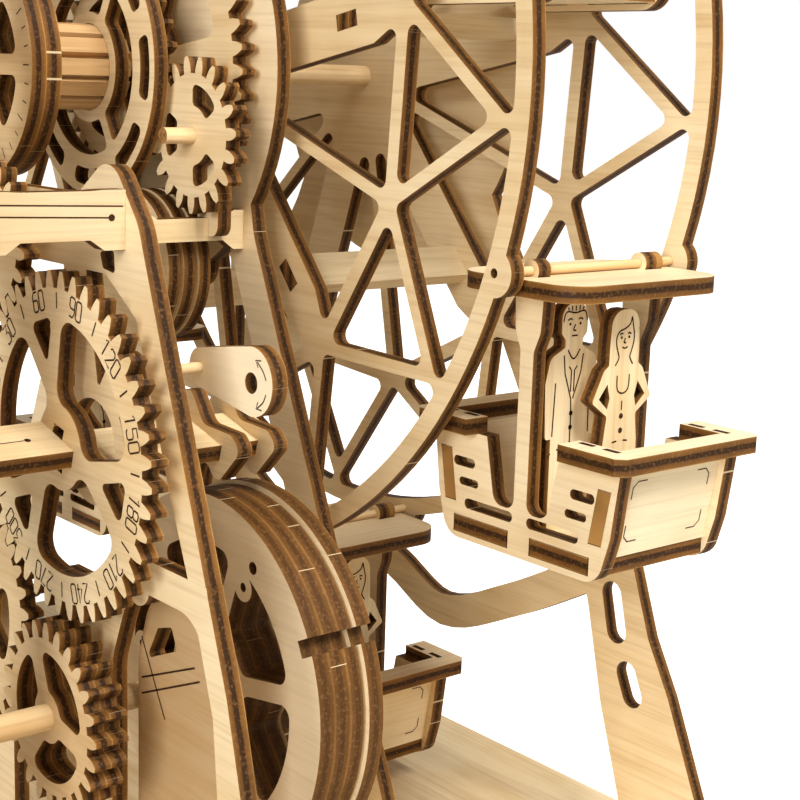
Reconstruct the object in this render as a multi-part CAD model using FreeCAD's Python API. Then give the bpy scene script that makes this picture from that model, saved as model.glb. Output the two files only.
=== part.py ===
import FreeCAD, Part
import math
import os

# Ferris wheel toy cut from plywood sheet and dowel, in millimetres.
# X right, Y from front to back, Z up; the origin is on the underside of the base board,
# and Y = 0 is the middle plane between the two wheel discs.

os.makedirs("parts", exist_ok=True)
V = FreeCAD.Vector
AXIS_Y = V(0, 1, 0)

# stock
PLY = 4.0
RUN_GAP = 0.05
FIT_GAP = 0.03
AXLE_R = 3.0
PIN_R = 2.0
ROD_R = 1.1

# wheel
WHEEL_R = 132.5
WHEEL_CLEAR = 75.5
WHEEL_Z = WHEEL_R + WHEEL_CLEAR
FOOT = PLY - WHEEL_Z
WHEEL_MID = 29.6
RIM_W = 5.0
HUB_R = 24.0
NODE_INSET = 41.8
NODE_R = WHEEL_R - NODE_INSET
JOINT_INSET = 8.5
JOINT_R = WHEEL_R - JOINT_INSET
NODE_ANGLE = -19.0
CAR_ANGLE = -19.0
PIVOT_INSET = 2.1
PIVOT_R = WHEEL_R - PIVOT_INSET
PIVOT_BOSS_R = 5.6
RING_BAR = 4.0
ZIGZAG_BAR = 3.3
THIN_SPOKE = 3.2
WIDE_SPOKE = 14.7
WIDE_SPOKE_TIP = 6.0
WIDE_SPOKE_TAPER = 12.7
WIDE_SPOKE_STRAIGHT_R = NODE_R - WIDE_SPOKE_TAPER
CROTCH_R = 2.2
SPACER_INSET = 22.2
SPACER_R = NODE_R - SPACER_INSET
SPACER_W = 10.0
SPACER_TENON = 8.0

# frames, front faces
FRAME_0 = -143.6
FRAME_1 = -107.6
FRAME_2 = -43.6
FRAME_REAR = 39.6

# gears: the front train turns in one plane, the timing pair behind it has coarser teeth
MODULE = 1.67
TIMING_MODULE = 1.85
PRESSURE = math.radians(20)
BACKLASH = 0.3
ROOT_DEPTH = 1.25
GEAR_PLANE = -115.6
TIMING_PLANE = -58.6
WHEEL_GEAR_PLANE = -49.6
N_CRANK = 44
N_UPPER = 20
N_LOWER = 35
N_DRIVE = 51
N_PINION = 24
N_TIMING = 19
N_TRANSFER = 28
N_WHEEL = 51
UPPER_ANGLE = -41.9
CRANK_ANGLE = -50.9
LOWER_ANGLE = -134.8
DRUM_ANGLE = -16.6
TIMING_ANGLE = -21.5

# base board
BASE_X = 160.0
BASE_FRONT = FRAME_0 - 8.4
BASE_BACK = FRAME_REAR + 14.4
BASE_CORNER = 12.0
TENON_W = 9.0


def pitch_r(teeth, module=MODULE):
    return module * teeth / 2


def polar(r, deg, cx=0.0, cz=0.0):
    a = math.radians(deg)
    return (cx + r * math.cos(a), cz + r * math.sin(a))


def bearing(p, q):
    return math.degrees(math.atan2(q[1] - p[1], q[0] - p[0]))


def next_gear(c, teeth, angle, other, module=MODULE):
    """centre of the gear that meshes with the one at c, in the given direction"""
    return polar(pitch_r(teeth + other, module), angle, c[0], c[1])


WHEEL = (0.0, WHEEL_Z)
UPPER = next_gear(WHEEL, N_DRIVE, UPPER_ANGLE, N_UPPER)
CRANK = next_gear(UPPER, N_UPPER, CRANK_ANGLE, N_CRANK)
LOWER = next_gear(CRANK, N_CRANK, LOWER_ANGLE, N_LOWER)
DRUM = next_gear(LOWER, N_LOWER, DRUM_ANGLE, N_PINION)
TIMING = next_gear(WHEEL, N_TRANSFER, TIMING_ANGLE, N_TIMING, TIMING_MODULE)
CRANK_X, CRANK_Z = CRANK
DRUM_X, DRUM_Z = DRUM


def shape_wire(corners):
    """closed outline in the XZ plane; a third value rounds that corner"""
    pts = [V(c[0], 0, c[1]) for c in corners]
    starts = []
    mids = []
    ends = []
    for i, c in enumerate(corners):
        p = pts[i]
        if len(c) < 3:
            starts.append(p)
            mids.append(None)
            ends.append(p)
            continue
        a = (pts[i - 1] - p).normalize()
        b = (pts[(i + 1) % len(pts)] - p).normalize()
        half = a.getAngle(b) / 2
        run = c[2] / math.tan(half)
        inward = (a + b).normalize()
        starts.append(p + a * run)
        mids.append(p + inward * (c[2] / math.sin(half) - c[2]))
        ends.append(p + b * run)
    edges = []
    for i in range(len(pts)):
        if mids[i] is not None:
            edges.append(Part.Arc(starts[i], mids[i], ends[i]).toShape())
        nxt = starts[(i + 1) % len(pts)]
        if ends[i].distanceToPoint(nxt) > 1e-6:
            edges.append(Part.makeLine(ends[i], nxt))
    return Part.Wire(edges)


def board(outer, y, thick=PLY, holes=()):
    """sheet piece parallel to the XZ plane with its front face at y"""
    face = Part.makeFace([outer] + list(holes), "Part::FaceMakerBullseye")
    face.translate(V(0, y, 0))
    return face.extrude(V(0, thick, 0))


def ring_wire(c, r):
    return Part.Wire(Part.makeCircle(r, V(c[0], 0, c[1]), AXIS_Y))


def dowel(c, r, y0, y1):
    return Part.makeCylinder(r, y1 - y0, V(c[0], y0, c[1]), AXIS_Y)


def collar(c, r, bore, y0, y1):
    return dowel(c, r, y0, y1).cut(dowel(c, bore, y0 - PLY, y1 + PLY))


def block(x0, x1, y0, y1, z0, z1):
    return Part.makeBox(x1 - x0, y1 - y0, z1 - z0, V(x0, y0, z0))


def strip(p, q, width, y, thick=PLY):
    """straight bar of sheet from p to q with round ends"""
    a = V(p[0], y, p[1])
    b = V(q[0], y, q[1])
    run = (b - a).normalize()
    side = V(-run.z, 0, run.x) * (width / 2)
    tip_b = b + run * (width / 2)
    tip_a = a - run * (width / 2)
    edges = [
        Part.makeLine(a + side, b + side),
        Part.Arc(b + side, tip_b, b - side).toShape(),
        Part.makeLine(b - side, a - side),
        Part.Arc(a - side, tip_a, a + side).toShape(),
    ]
    return Part.Face(Part.Wire(edges)).extrude(V(0, thick, 0))


def join(shapes):
    out = shapes[0]
    if len(shapes) > 1:
        out = out.multiFuse(shapes[1:])
    return out.removeSplitter()


def soften(solid, radius):
    """rounds the corners that run through the sheet"""
    picked = []
    for e in solid.Edges:
        a = e.Vertexes[0].Point
        b = e.Vertexes[-1].Point
        if abs(abs(a.y - b.y) - a.distanceToPoint(b)) < 1e-6 and a.distanceToPoint(b) > 1:
            picked.append(e)
    return solid.makeFillet(radius, picked)


def mirror_x(shape):
    return shape.mirror(V(0, 0, 0), V(1, 0, 0))


def turned(shape, c, deg):
    out = shape.copy()
    out.rotate(V(c[0], 0, c[1]), V(0, -1, 0), deg)
    return out


def moved(shape, x, y, z):
    out = shape.copy()
    out.translate(V(x, y, z))
    return out


def save(name, shapes):
    solids = []
    for s in shapes:
        solids.extend(s.Solids)
    out = solids[0]
    if len(solids) > 1:
        out = Part.makeCompound(solids)
    out.exportStep("parts/" + name + ".step")


# gears


def involute(a):
    return math.tan(a) - a


def gear_wire(c, teeth, phase, module=MODULE):
    """toothed outline about c; phase is the angle of the middle of one tooth"""
    r = pitch_r(teeth, module)
    base = r * math.cos(PRESSURE)
    root = r - ROOT_DEPTH * module
    tip = r + module
    at_pitch = math.pi / (2 * teeth) - BACKLASH / (4 * r)

    def half(rho):
        opening = math.acos(base / rho) if rho > base else 0.0
        return math.degrees(at_pitch + involute(PRESSURE) - involute(opening))

    def at(rho, deg):
        x, z = polar(rho, deg, c[0], c[1])
        return V(x, 0, z)

    step = 360.0 / teeth
    edges = []
    for i in range(teeth):
        t = phase + i * step
        foot = at(root, t - half(root))
        heel = at(root, t + half(root))
        crown = at(tip, t - half(tip))
        brow = at(tip, t + half(tip))
        after = at(root, t + step - half(root))
        edges.append(Part.Arc(foot, at(r, t - half(r)), crown).toShape())
        edges.append(Part.Arc(crown, at(tip, t), brow).toShape())
        edges.append(Part.Arc(brow, at(r, t + half(r)), heel).toShape())
        edges.append(Part.Arc(heel, at(root, t + step / 2), after).toShape())
    return Part.Wire(edges)


def mesh_phase(c1, n1, phase1, c2, n2):
    """tooth angle of the second gear that fits the gap of the first on their line of centres"""
    line = bearing(c1, c2)
    return line + 180 - (phase1 - line) * n1 / n2 + 180.0 / n2


def window(c, r_in, r_out, a0, a1, bar, fillet, y, thick=PLY):
    """opening between two radii and two spokes of the given width"""

    def edge_angle(a, r, sign):
        return a + sign * math.degrees(math.asin(bar / 2 / r))

    def at(r, a):
        x, z = polar(r, a, c[0], c[1])
        return V(x, y, z)

    i0 = edge_angle(a0, r_in, 1)
    i1 = edge_angle(a1, r_in, -1)
    o0 = edge_angle(a0, r_out, 1)
    o1 = edge_angle(a1, r_out, -1)
    edges = [
        Part.makeLine(at(r_in, i0), at(r_out, o0)),
        Part.Arc(at(r_out, o0), at(r_out, (o0 + o1) / 2), at(r_out, o1)).toShape(),
        Part.makeLine(at(r_out, o1), at(r_in, i1)),
        Part.Arc(at(r_in, i1), at(r_in, (i0 + i1) / 2), at(r_in, i0)).toShape(),
    ]
    return soften(Part.Face(Part.Wire(edges)).extrude(V(0, thick, 0)), fillet)


def windowed(solid, c, r_in, r_out, first, count, bar, fillet, y, thick=PLY):
    step = 360.0 / count
    one = window(c, r_in, r_out, first, first + step, bar, fillet, y, thick)
    return solid.cut(Part.makeCompound([turned(one, c, i * step) for i in range(count)]))


# wheel discs


def offset_line(p, q, d):
    """line p-q shifted to its left by d"""
    n = math.hypot(q[0] - p[0], q[1] - p[1])
    sx = -(q[1] - p[1]) / n * d
    sz = (q[0] - p[0]) / n * d
    return (p[0] + sx, p[1] + sz), (q[0] + sx, q[1] + sz)


def cross(l1, l2):
    (x1, z1), (x2, z2) = l1
    (x3, z3), (x4, z4) = l2
    den = (x1 - x2) * (z3 - z4) - (z1 - z2) * (x3 - x4)
    a = x1 * z2 - z1 * x2
    b = x3 * z4 - z3 * x4
    return ((a * (x3 - x4) - (x1 - x2) * b) / den, (a * (z3 - z4) - (z1 - z2) * b) / den)


def cross_circle(line, r):
    """where the line from its first towards its second point leaves the circle about the origin"""
    (x1, z1), (x2, z2) = line
    n = math.hypot(x2 - x1, z2 - z1)
    ux = (x2 - x1) / n
    uz = (z2 - z1) / n
    along = x1 * ux + z1 * uz
    run = -along + math.sqrt(along * along - x1 * x1 - z1 * z1 + r * r)
    return (x1 + ux * run, z1 + uz * run)


def prism(corners, arc_from, arc_mid):
    """sheet-thick tool whose edge after corner arc_from is an arc through arc_mid"""
    pts = [V(p[0], 0, p[1]) for p in corners]
    edges = []
    for i, p in enumerate(pts):
        nxt = pts[(i + 1) % len(pts)]
        if i == arc_from:
            edges.append(Part.Arc(p, V(arc_mid[0], 0, arc_mid[1]), nxt).toShape())
        else:
            edges.append(Part.makeLine(p, nxt))
    return Part.Face(Part.Wire(edges)).extrude(V(0, PLY, 0))


def wheel_disc():
    rim_in = WHEEL_R - RIM_W
    zig = ZIGZAG_BAR / 2
    node = polar(NODE_R, 0)
    left_joint = polar(JOINT_R, 15)
    right_joint = polar(JOINT_R, -15)
    up = offset_line(node, left_joint, -zig)
    down = offset_line(node, right_joint, zig)
    outer = [cross(down, up), cross_circle(up, rim_in), cross_circle(down, rim_in)]
    outer_cell = soften(prism([outer[0], outer[2], outer[1]], 1, (rim_in, 0)), CROTCH_R)

    a = polar(NODE_R, -15)
    b = polar(NODE_R, 15)
    joint = polar(JOINT_R, 0)
    chord = offset_line(b, a, RING_BAR / 2)
    side_a = offset_line(a, joint, zig)
    side_b = offset_line(joint, b, zig)
    inner_cell = soften(prism([cross(chord, side_a), cross(side_a, side_b), cross(side_b, chord)], -1, None),
                        CROTCH_R)

    thin = offset_line((0, 0), polar(NODE_R, 0), THIN_SPOKE / 2)
    wide = offset_line((0, 0), polar(NODE_R, 30), -WIDE_SPOKE / 2)
    ring = offset_line(polar(NODE_R, 0), polar(NODE_R, 30), RING_BAR / 2)
    shoulder_r = math.hypot(WIDE_SPOKE_STRAIGHT_R, WIDE_SPOKE / 2)
    shoulder = polar(shoulder_r, 30 - math.degrees(math.asin(WIDE_SPOKE / 2 / shoulder_r)))
    taper = (shoulder, polar(NODE_R, 30 - math.degrees(WIDE_SPOKE_TIP / 2 / NODE_R)))
    hub_thin = cross_circle(thin, HUB_R)
    hub_wide = cross_circle(wide, HUB_R)
    hub_mid = polar(HUB_R, (bearing((0, 0), hub_thin) + bearing((0, 0), hub_wide)) / 2)
    half_cell = soften(
        prism([hub_thin, cross(thin, ring), cross(ring, taper), shoulder, hub_wide], 4, hub_mid), CROTCH_R)
    other_half = half_cell.mirror(V(0, 0, 0), V(0, 0, 1))

    tools = []
    for i in range(12):
        tools.append(turned(outer_cell, (0, 0), NODE_ANGLE + 30 * i))
        tools.append(turned(inner_cell, (0, 0), NODE_ANGLE + 15 + 30 * i))
    for i in range(6):
        spoke = NODE_ANGLE + 60 * i
        tools.append(turned(half_cell, (0, 0), spoke))
        tools.append(turned(other_half, (0, 0), spoke))
        slot = block(SPACER_R - SPACER_TENON / 2 - FIT_GAP, SPACER_R + SPACER_TENON / 2 + FIT_GAP, 0, PLY,
                     -PLY / 2 - FIT_GAP, PLY / 2 + FIT_GAP)
        tools.append(turned(slot, (0, 0), spoke + 30))
        hole = polar(PIVOT_R, CAR_ANGLE + 60 * i)
        tools.append(dowel(hole, ROD_R + FIT_GAP, 0, PLY))
    bosses = [dowel(polar(PIVOT_R, CAR_ANGLE + 60 * i), PIVOT_BOSS_R, 0, PLY) for i in range(6)]
    disc = join([dowel((0, 0), WHEEL_R, 0, PLY)] + bosses)
    tools.append(dowel((0, 0), AXLE_R + FIT_GAP, 0, PLY))
    return disc.cut(Part.makeCompound(tools))


disc = wheel_disc()
WHEEL_FRONT = -WHEEL_MID - PLY / 2
WHEEL_BACK = WHEEL_MID - PLY / 2
save("wheel_near", [moved(disc, 0, WHEEL_FRONT, WHEEL_Z)])
save("wheel_far", [moved(disc, 0, WHEEL_BACK, WHEEL_Z)])

spacers = []
rods = []
ROD_RECESS = 2.0
for i in range(6):
    a = NODE_ANGLE + 30 + 60 * i
    body = block(SPACER_R - SPACER_W / 2, SPACER_R + SPACER_W / 2, WHEEL_FRONT + PLY, WHEEL_BACK,
                 -PLY / 2, PLY / 2)
    tongue = block(SPACER_R - SPACER_TENON / 2, SPACER_R + SPACER_TENON / 2, WHEEL_FRONT, WHEEL_BACK + PLY,
                   -PLY / 2, PLY / 2)
    spacers.append(moved(turned(join([body, tongue]), (0, 0), a), 0, 0, WHEEL_Z))
    hub = polar(PIVOT_R, CAR_ANGLE + 60 * i, 0, WHEEL_Z)
    rods.append(dowel(hub, ROD_R, WHEEL_FRONT + ROD_RECESS, WHEEL_BACK + PLY - ROD_RECESS))
save("wheel_spacers", spacers)
save("gondola_rods", rods)

# axle of the wheel with what turns on it
SPOOL_DIAL = -95.6
SPOOL_DIAL_R = 28.0
SPOOL_DIAL_T = 2 * PLY
SPOOL_FLANGE = -65.1
SPOOL_FLANGE_R = 33.3
SPOOL_CORE_R = 11.0
SPOOL_SPOKE = 3.0
SPOOL_SLATS = 12
SLAT_W = 4.2
SLAT_T = 2.4
SLAT_SEAT = 0.5
AXLE_END = 3.0

axle = dowel(WHEEL, AXLE_R, FRAME_0 - AXLE_END, FRAME_REAR + PLY + AXLE_END)
save("wheel_axle", [axle])

drive_phase = 3.65
upper_phase = mesh_phase(WHEEL, N_DRIVE, drive_phase, UPPER, N_UPPER)
crank_phase = mesh_phase(UPPER, N_UPPER, upper_phase, CRANK, N_CRANK)
lower_phase = mesh_phase(CRANK, N_CRANK, crank_phase, LOWER, N_LOWER)
pinion_phase = mesh_phase(LOWER, N_LOWER, lower_phase, DRUM, N_PINION)
transfer_phase = 0.0
timing_phase = mesh_phase(WHEEL, N_TRANSFER, transfer_phase, TIMING, N_TIMING)

bore = AXLE_R + FIT_GAP
drive = board(gear_wire(WHEEL, N_DRIVE, drive_phase), GEAR_PLANE, PLY, [ring_wire(WHEEL, bore)])
drive = windowed(drive, WHEEL, 12, 33, 20, 5, 7, 3, GEAR_PLANE)
save("front_drive_gear", [drive])

transfer = board(gear_wire(WHEEL, N_TRANSFER, transfer_phase, TIMING_MODULE), TIMING_PLANE, PLY,
                 [ring_wire(WHEEL, bore)])
transfer = windowed(transfer, WHEEL, 8, 18.5, 10, 5, 4.5, 2, TIMING_PLANE)
save("transfer_gear", [transfer])

big = board(gear_wire(WHEEL, N_WHEEL, 0, TIMING_MODULE), WHEEL_GEAR_PLANE, PLY, [ring_wire(WHEEL, bore)])
big = windowed(big, WHEEL, 16, 37.5, 8, 6, 7, 3, WHEEL_GEAR_PLANE)
save("wheel_gear", [big])

dial = board(ring_wire(WHEEL, SPOOL_DIAL_R), SPOOL_DIAL, SPOOL_DIAL_T, [ring_wire(WHEEL, bore)])
dial = windowed(dial, WHEEL, 10, 20, 0, 6, 5, 2, SPOOL_DIAL, SPOOL_DIAL_T)
save("spool_dial", [dial])

core_reach = math.hypot(SPOOL_CORE_R, SLAT_W / 2) + FIT_GAP
flange = board(ring_wire(WHEEL, SPOOL_FLANGE_R), SPOOL_FLANGE, PLY, [ring_wire(WHEEL, core_reach)])
flange = windowed(flange, WHEEL, 26.5, 31, -22, 8, 7, 1.6, SPOOL_FLANGE)
flange = windowed(flange, WHEEL, core_reach + SPOOL_SPOKE, 22.8, 60, 3, SPOOL_SPOKE, 1.6, SPOOL_FLANGE)
save("spool_flange", [flange])

core_y0 = SPOOL_DIAL + SPOOL_DIAL_T
core_y1 = TIMING_PLANE
core = [collar(WHEEL, SPOOL_CORE_R - SLAT_T + SLAT_SEAT, bore, core_y0, core_y1)]
slat = block(SPOOL_CORE_R - SLAT_T, SPOOL_CORE_R, core_y0, core_y1, -SLAT_W / 2, SLAT_W / 2)
for i in range(SPOOL_SLATS):
    core.append(moved(turned(slat, (0, 0), 360.0 * i / SPOOL_SLATS), 0, 0, WHEEL_Z))
save("spool_core", [join(core)])

HUB_COLLAR_R = 9.0
COLLAR_GAP = 1.0
hubs = [
    (TIMING_PLANE + PLY, WHEEL_GEAR_PLANE),
    (FRAME_2 + PLY + COLLAR_GAP, WHEEL_FRONT),
    (WHEEL_BACK + PLY, FRAME_REAR - COLLAR_GAP),
    (GEAR_PLANE + PLY, SPOOL_DIAL),
]
save("wheel_collars", [collar(WHEEL, HUB_COLLAR_R, bore, y0, y1) for y0, y1 in hubs])

# gondolas
SIDE_Y = 16.1
BUSH_L = 2.0
CAR_DEPTH = 24.2
ROOF_DEPTH = 26.0
ROOF_CORNER = 8.0
ROOF_TOP = -1.3
ROOF_HALF = 19.8
RAIL_TOP = -37.1
RAIL_X = 34.5
RAIL_TIP = 15.3
RAIL_ARM = 7.0
RAIL_CROSS = 6.7
POST = 2.15
EYE_R = 2.6
FLOOR_TOP = -62.6
FLOOR_X = 25.2
END_X = 29.35
END_LEAN = 0.1713
END_TAB = (-46.2, -59.0)
TAB_PLAY = 0.2
FLOOR_SLOT = (3.6, 22.9)
FLOOR_PLAY = 0.2
SIDE_PILLS = ((2.4, 19.2, -59.0, 2.6), (16.0, 23.6, -48.9, 2.4), (14.6, 21.4, -53.7, 2.0))


def end_board(top, bottom, play=0.0):
    """section of the leaning end board between two heights, its outer face first"""
    out = [END_X - (RAIL_TOP - PLY - z) * END_LEAN for z in (top, bottom)]
    return [(out[0] - PLY - play, top), (out[0] + play, top), (out[1] + play, bottom),
            (out[1] - PLY - play, bottom)]


def side_panel(y, bush):
    """one side: eye with its bush, post and tub side, pivot at the origin"""
    under = ROOF_TOP - PLY
    wing_top = RAIL_TOP - PLY
    half = [
        (POST, under),
        (4.6, under),
        (4.1, -14.0, 5),
        (POST, -18.6, 4),
        (POST, -57, 2.6),
        (8.9, -57, 3.4),
        (12.2, wing_top),
        (30.9, wing_top),
        (28.8, -57),
        (25.6, -68.3, 6),
    ]
    left = [(-c[0],) + tuple(c[1:]) for c in reversed(half)]
    body = board(shape_wire(half + left), y)
    neck = block(-POST, POST, y, y + PLY, under, 0)
    out = join([body, neck, dowel((0, 0), EYE_R, y, y + PLY + bush)])
    cuts = [dowel((0, 0), ROD_R + RUN_GAP, y, y + PLY + bush)]
    for s in (-1, 1):
        x0, x1 = sorted((s * FLOOR_SLOT[0], s * FLOOR_SLOT[1]))
        cuts.append(block(x0, x1, y, y + PLY, FLOOR_TOP - PLY - FLOOR_PLAY, FLOOR_TOP + FLOOR_PLAY))
        for x0, x1, z, h in SIDE_PILLS:
            cuts.append(strip((s * (x0 + h / 2), z), (s * (x1 - h / 2), z), h, y))
        slanted = [(s * x, z) for x, z in end_board(END_TAB[0] + TAB_PLAY, END_TAB[1] - TAB_PLAY, FIT_GAP)]
        cuts.append(board(shape_wire(slanted), y))
    return out.cut(Part.makeCompound(cuts))


def tub():
    """floor, two slanted end boards and two rails, pivot at the origin"""
    inner = SIDE_Y
    floor = block(-FLOOR_X, FLOOR_X, -inner, inner, FLOOR_TOP - PLY, FLOOR_TOP)
    pieces = []
    tongues = []
    for s in (-1, 1):
        lo = min(s * (4.0 + FIT_GAP), s * (22.5 - FIT_GAP))
        hi = max(s * (4.0 + FIT_GAP), s * (22.5 - FIT_GAP))
        tongues.append(block(lo, hi, -inner - PLY, inner + PLY, FLOOR_TOP - PLY - 0.02, FLOOR_TOP - 0.02))
    pieces.append(join([floor] + tongues))
    wing_top = RAIL_TOP - PLY
    for s in (-1, 1):
        end = [(s * x, z) for x, z in end_board(wing_top, FLOOR_TOP)]
        wall = board(shape_wire(end), -inner, 2 * inner)
        tab = [(s * x, z) for x, z in end_board(*END_TAB)]
        ears = board(shape_wire(tab), -inner - PLY, 2 * inner + 2 * PLY)
        pieces.append(join([wall, ears]))
    for s in (-1, 1):
        rail = [(s * RAIL_TIP, -CAR_DEPTH), (s * (RAIL_X - 2), -CAR_DEPTH), (s * RAIL_X, -CAR_DEPTH + 2),
                (s * RAIL_X, CAR_DEPTH - 2), (s * (RAIL_X - 2), CAR_DEPTH), (s * RAIL_TIP, CAR_DEPTH),
                (s * RAIL_TIP, CAR_DEPTH - RAIL_ARM), (s * (RAIL_X - RAIL_CROSS), CAR_DEPTH - RAIL_ARM),
                (s * (RAIL_X - RAIL_CROSS), RAIL_ARM - CAR_DEPTH), (s * RAIL_TIP, RAIL_ARM - CAR_DEPTH)]
        pts = [V(x, y, RAIL_TOP - PLY) for x, y in rail]
        pieces.append(Part.Face(Part.makePolygon(pts + [pts[0]])).extrude(V(0, 0, PLY)))
    return pieces


def roof():
    plan = Part.makeBox(2 * ROOF_HALF, 2 * ROOF_DEPTH, PLY, V(-ROOF_HALF, -ROOF_DEPTH, ROOF_TOP - PLY))
    upright = [e for e in plan.Edges if abs(e.Vertexes[0].Point.z - e.Vertexes[-1].Point.z) > PLY / 2]
    plan = plan.makeFillet(ROOF_CORNER, upright)
    slots = []
    slot = EYE_R + FIT_GAP
    for y0, y1 in ((-SIDE_Y - PLY, -SIDE_Y), (SIDE_Y, SIDE_Y + PLY + BUSH_L)):
        slots.append(block(-slot, slot, y0 - FIT_GAP, y1 + FIT_GAP, ROOF_TOP - PLY, ROOF_TOP))
    return plan.cut(Part.makeCompound(slots))


# riders stand on the floor and face along the wheel's plane
MAN_X = 2.0
MAN_Y = -6.7
WOMAN_X = 9.3
WOMAN_Y = 2.8


def figure(half, x_face, y_mid):
    """flat figure, half outline given as (sideways, height) from the floor"""
    left = [(-c[0],) + tuple(c[1:]) for c in reversed(half)]
    flat = board(shape_wire(half + left), 0)
    flat.rotate(V(0, 0, 0), V(0, 0, 1), 90)
    flat.translate(V(x_face, y_mid, FLOOR_TOP))
    return flat


MAN = [
    (6.2, 0, 0.6),
    (6.4, 22.6),
    (8.2, 22.6, 0.8),
    (8.9, 36, 3.0),
    (7.4, 42.0, 3.0),
    (2.8, 44.2, 0.8),
    (2.9, 46.0, 0.5),
    (4.2, 47.5, 0.8),
    (4.4, 54.6, 3.6),
]
WOMAN = [
    (6.2, 0, 0.6),
    (5.8, 21.6, 3.0),
    (4.9, 28.2, 1.0),
    (10.1, 31.9, 0.8),
    (6.6, 39.2, 1.6),
    (5.0, 40.4, 0.5),
    (5.0, 44, 0.8),
    (4.5, 53.4, 4.0),
]


def riders():
    man = figure(MAN, MAN_X, MAN_Y)
    woman = figure(WOMAN, WOMAN_X, WOMAN_Y)
    cuts = []
    for s in (-1, 1):
        hole = [(s * 4.9, 29.9), (s * 7.9, 32.6), (s * 5.2, 36.0), (s * 4.2, 32.4)]
        tool = board(shape_wire(hole), 0)
        tool.rotate(V(0, 0, 0), V(0, 0, 1), 90)
        tool.translate(V(WOMAN_X, WOMAN_Y, FLOOR_TOP))
        cuts.append(tool)
    return [man, woman.cut(Part.makeCompound(cuts))]


sides = [side_panel(-SIDE_Y - PLY, 0), side_panel(SIDE_Y, BUSH_L)]
tub_pieces = tub()
roof_piece = roof()
people = riders()
for i in range(6):
    px, pz = polar(PIVOT_R, CAR_ANGLE + 60 * i, 0, WHEEL_Z)
    name = "gondola_" + str(i + 1)
    save(name + "_sides", [moved(s, px, 0, pz) for s in sides])
    save(name + "_tub", [moved(s, px, 0, pz) for s in tub_pieces])
    save(name + "_roof", [moved(roof_piece, px, 0, pz)])
    save(name + "_riders", [moved(s, px, 0, pz) for s in people])

# crank: gear, handle board in front of it, shaft board behind it, claws on the shaft board
BOARD_W = 15.0
BOARD_TURN = -15.0
HANDLE_OFF = (-1.4, 0.4)
SHAFT_OFF = (-1.76, -3.0)
PRONG_W = 3.0
HANDLE_FRONT = FRAME_0 - 14.0
SHAFT_BACK = -61.0
CLAW_PLANES = (-77.6, -67.6)


def crank_board(off, y0, y1, u0=-BOARD_W / 2, u1=BOARD_W / 2, grow=0.0):
    """flat board along Y in the crank, turned with the gear; off is its middle from the crank's axis"""
    flat = block(u0 - grow, u1 + grow, y0, y1, -PLY / 2 - grow, PLY / 2 + grow)
    return moved(turned(flat, (0, 0), BOARD_TURN), CRANK_X + off[0], 0, CRANK_Z + off[1])


def board_reach(off):
    """distance of the board's farthest corner from the crank's axis"""
    far = 0.0
    for u in (-BOARD_W / 2, BOARD_W / 2):
        for n in (-PLY / 2, PLY / 2):
            x, z = polar(math.hypot(u, n), math.degrees(math.atan2(n, u)) + BOARD_TURN, off[0], off[1])
            far = max(far, math.hypot(x, z))
    return far


CRANK_SPOKE = 106.0
CRANK_SPOKES = 3
SPOKE_LEAN = 25.4
SPOKE_FLARE = -6.2
CRANK_HUB_R = 9.5
CRANK_RING_R = 28.4
SPOKE_HOLE = [(18.2, 0, 1.0), (28.0, -5.2, 1.6), (28.0, 5.2, 1.6)]
NOTCH_OVER_HANDLE = [(-3.2, 2.6), (-2.3, 5.0), (2.2, 4.1), (1.2, 1.6)]
gear_back = GEAR_PLANE + PLY
edge = BOARD_W / 2
crank_gear = board(gear_wire(CRANK, N_CRANK, crank_phase), GEAR_PLANE)
spoke_step = 360.0 / CRANK_SPOKES
opening = window(CRANK, CRANK_HUB_R, CRANK_RING_R, CRANK_SPOKE + SPOKE_LEAN,
                 CRANK_SPOKE + spoke_step - SPOKE_LEAN, SPOKE_FLARE, 4, GEAR_PLANE)
spoke_hole = turned(board(shape_wire(SPOKE_HOLE), GEAR_PLANE), (0, 0), CRANK_SPOKE)
spoke_hole = moved(spoke_hole, CRANK_X, 0, CRANK_Z)
cuts = []
for i in range(CRANK_SPOKES):
    cuts.append(turned(opening, CRANK, i * spoke_step))
    cuts.append(turned(spoke_hole, CRANK, i * spoke_step))
prongs = []
for u0, u1 in ((-edge, PRONG_W - edge), (edge - PRONG_W, edge)):
    cuts.append(crank_board(HANDLE_OFF, GEAR_PLANE, gear_back, u0, u1, FIT_GAP))
    prongs.append(crank_board(HANDLE_OFF, GEAR_PLANE, gear_back, u0, u1))
tongue = edge - PRONG_W - 1.2
cuts.append(crank_board(SHAFT_OFF, GEAR_PLANE, gear_back, -tongue, tongue, FIT_GAP))
cuts.append(moved(board(shape_wire(NOTCH_OVER_HANDLE), GEAR_PLANE), CRANK_X, 0, CRANK_Z))
save("crank_gear", [crank_gear.cut(Part.makeCompound(cuts))])
shaft = join([crank_board(SHAFT_OFF, gear_back, SHAFT_BACK),
              crank_board(SHAFT_OFF, GEAR_PLANE + PLY / 2, gear_back, -tongue, tongue)])
save("crank_shaft", [shaft])

handle_board = join([crank_board(HANDLE_OFF, HANDLE_FRONT, GEAR_PLANE)] + prongs)
ARM_LENGTH = 30.0
ARM_W = 22.0
KNOB_R = 4.0
KNOB_L = 22.0
arm_y = HANDLE_FRONT + 3.0
knob_at = (CRANK_X + ARM_LENGTH, CRANK_Z)
arm = strip(CRANK, knob_at, ARM_W, arm_y)
arm = arm.cut(crank_board(HANDLE_OFF, arm_y, arm_y + PLY, grow=FIT_GAP))
arm = arm.cut(dowel(knob_at, KNOB_R + FIT_GAP, arm_y, arm_y + PLY))
knob = dowel(knob_at, KNOB_R, arm_y + PLY - KNOB_L, arm_y + PLY)
save("crank_handle", [handle_board, arm, knob])

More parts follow.
